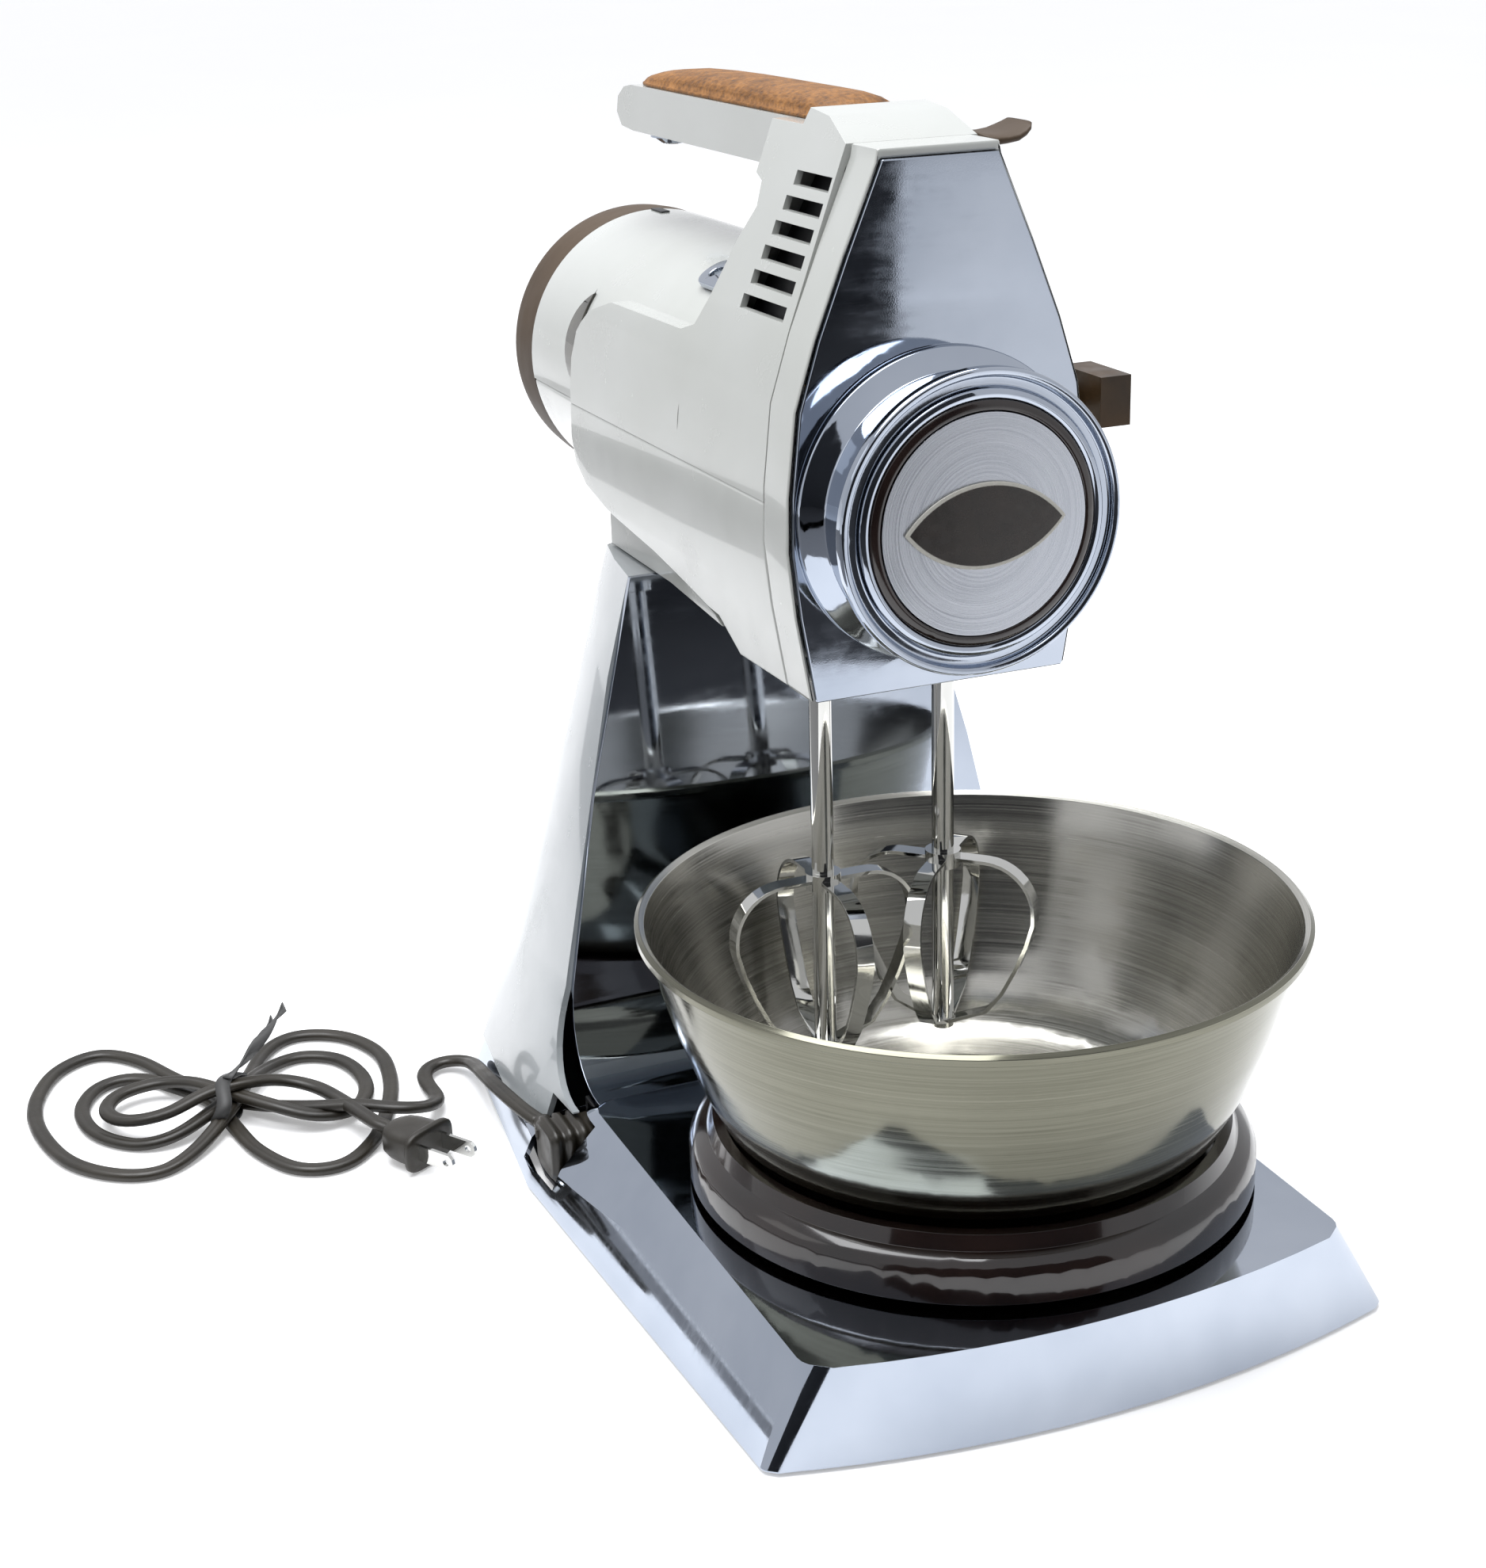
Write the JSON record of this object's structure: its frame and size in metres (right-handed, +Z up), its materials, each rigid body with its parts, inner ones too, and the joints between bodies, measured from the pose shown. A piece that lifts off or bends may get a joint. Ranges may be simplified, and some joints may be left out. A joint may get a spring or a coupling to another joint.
{
  "type": "stand mixer",
  "caption": "Household stand mixer: chromed base with turntable and steel bowl, white column, tilting head with handle, speed dial, two beaters and a mains cord.",
  "frame": {"origin": "under the middle of the mixer's own footprint, cord left out, on the surface that it stands on", "axes": "+Z up, -Y towards the bowl and the front of the head, +X to the right of someone who faces the back"},
  "size_m": [0.415, 0.4146, 0.3972],
  "materials": {
    "chrome": "mirror polished",
    "white_enamel": "glossy",
    "brown_plastic": "glossy",
    "polished_steel": "polished outside, brushed inside",
    "bright_steel": "satin",
    "base_steel": "satin",
    "black_rubber": "matte",
    "bronze": "satin",
    "tan_plastic": "satin",
    "black_plastic": "satin",
    "dark_window": "glossy",
    "brushed_disc": "brushed",
    "emblem_brown": "satin",
    "grip_leather": "grained",
    "cast_frame": "as cast",
    "core_iron": "laminated",
    "copper": "satin",
    "wire_cover": "matte",
    "cord_cover": "satin"
  },
  "bodies": {
    "stand": {"base_pan": "chrome", "base_plate": "base_steel", "rubber_feet": "black_rubber", "base_screws": "bright_steel", "turntable_bush": "bronze", "column_shell": "white_enamel", "column_front": "chrome", "hinge_bracket": "bright_steel", "hinge_pin": "bright_steel", "column_screws": "bright_steel", "power_inlet": "black_plastic", "inlet_pins": "bronze", "stand_wire": "wire_cover", "cord_connector": "cord_cover", "cord_lead": "cord_cover", "cord_hank": "cord_cover", "cord_tie": "cord_cover", "cord_tail": "cord_cover", "cord_plug": "cord_cover"},
    "head": {"saddle": "white_enamel", "upper_housing": "white_enamel", "lower_housing": "white_enamel", "front_frame": "white_enamel", "front_mask": "chrome", "bezel_ring": "chrome", "bezel_trim": "brown_plastic", "badge_disc": "brushed_disc", "badge_emblem": "emblem_brown", "handle_grip": "grip_leather", "handle_stud": "chrome", "vent_screens": "black_plastic", "intake_windows": "dark_window", "index_mark": "black_plastic", "housing_screws": "bright_steel", "gear_frame": "cast_frame", "spindle_bushes": "bronze", "motor_stator": "core_iron", "motor_brackets": "cast_frame", "motor_bearings": "bronze", "brush_holders": "bronze", "carbon_brushes": "black_plastic", "head_wire": "wire_cover", "barrel_lug": "chrome"},
    "turntable": {"turntable": "brown_plastic", "turntable_spindle": "bright_steel"},
    "bowl": {"mixing_bowl": "polished_steel"},
    "rotor": {"motor_shaft": "bright_steel", "rotor_core": "core_iron", "commutator": "copper", "cooling_fan": "black_plastic"},
    "drive_left": {"worm_gear_left": "bronze", "beater_spindle_left": "bright_steel"},
    "drive_right": {"worm_gear_right": "bronze", "beater_spindle_right": "bright_steel"},
    "beater_left": {"beater_left": "bright_steel"},
    "beater_right": {"beater_right": "bright_steel"},
    "dial": {"speed_dial": "tan_plastic"},
    "ejector": {"ejector_lever": "brown_plastic", "ejector_bar": "bright_steel"},
    "tilt_lock": {"tilt_lever": "brown_plastic"}
  },
  "joints": [
    {"name": "turntable_spin", "type": "hinge", "parent": "stand", "child": "turntable", "pos_m": [0.0072, -0.092, 0.04], "axis": [0, 0, 1], "continuous": true},
    {"name": "bowl_lift", "type": "slide", "parent": "turntable", "child": "bowl", "axis": [0, 0, 1], "range_m": [0, 0.004]},
    {"name": "head_tilt", "type": "hinge", "parent": "stand", "child": "head", "pos_m": [0, 0.113, 0.2215], "axis": [-1, 0, 0], "range_deg": [0, 35]},
    {"name": "motor_spin", "type": "hinge", "parent": "head", "child": "rotor", "pos_m": [0, 0.08, 0.283], "axis": [0, 1, 0], "continuous": true},
    {"name": "left_drive", "type": "hinge", "parent": "head", "child": "drive_left", "pos_m": [-0.0239, -0.038, 0.25], "axis": [0, 0, 1], "continuous": true},
    {"name": "right_drive", "type": "hinge", "parent": "head", "child": "drive_right", "pos_m": [0.0239, -0.038, 0.25], "axis": [0, 0, 1], "continuous": true},
    {"name": "left_beater_eject", "type": "slide", "parent": "drive_left", "child": "beater_left", "axis": [0, 0, -1], "range_m": [0, 0.005]},
    {"name": "right_beater_eject", "type": "slide", "parent": "drive_right", "child": "beater_right", "axis": [0, 0, -1], "range_m": [0, 0.005]},
    {"name": "dial_turn", "type": "hinge", "parent": "head", "child": "dial", "pos_m": [0, 0.19, 0.283], "axis": [0, 1, 0], "range_deg": [0, 270]},
    {"name": "eject_press", "type": "slide", "parent": "head", "child": "ejector", "axis": [0, 0, -1], "range_m": [0, 0.005], "stiffness_N_per_m": 2000},
    {"name": "tilt_lock_turn", "type": "hinge", "parent": "head", "child": "tilt_lock", "pos_m": [0.055, -0.056, 0.296], "axis": [1, 0, 0], "range_deg": [0, 30], "stiffness_Nm_per_rad": 0.4}
  ],
  "couplings": [
    {"joint": "left_drive", "follows": "motor_spin", "ratio": 0.066667},
    {"joint": "right_drive", "follows": "motor_spin", "ratio": -0.066667},
    {"joint": "left_beater_eject", "follows": "eject_press", "ratio": 1},
    {"joint": "right_beater_eject", "follows": "eject_press", "ratio": 1}
  ]
}
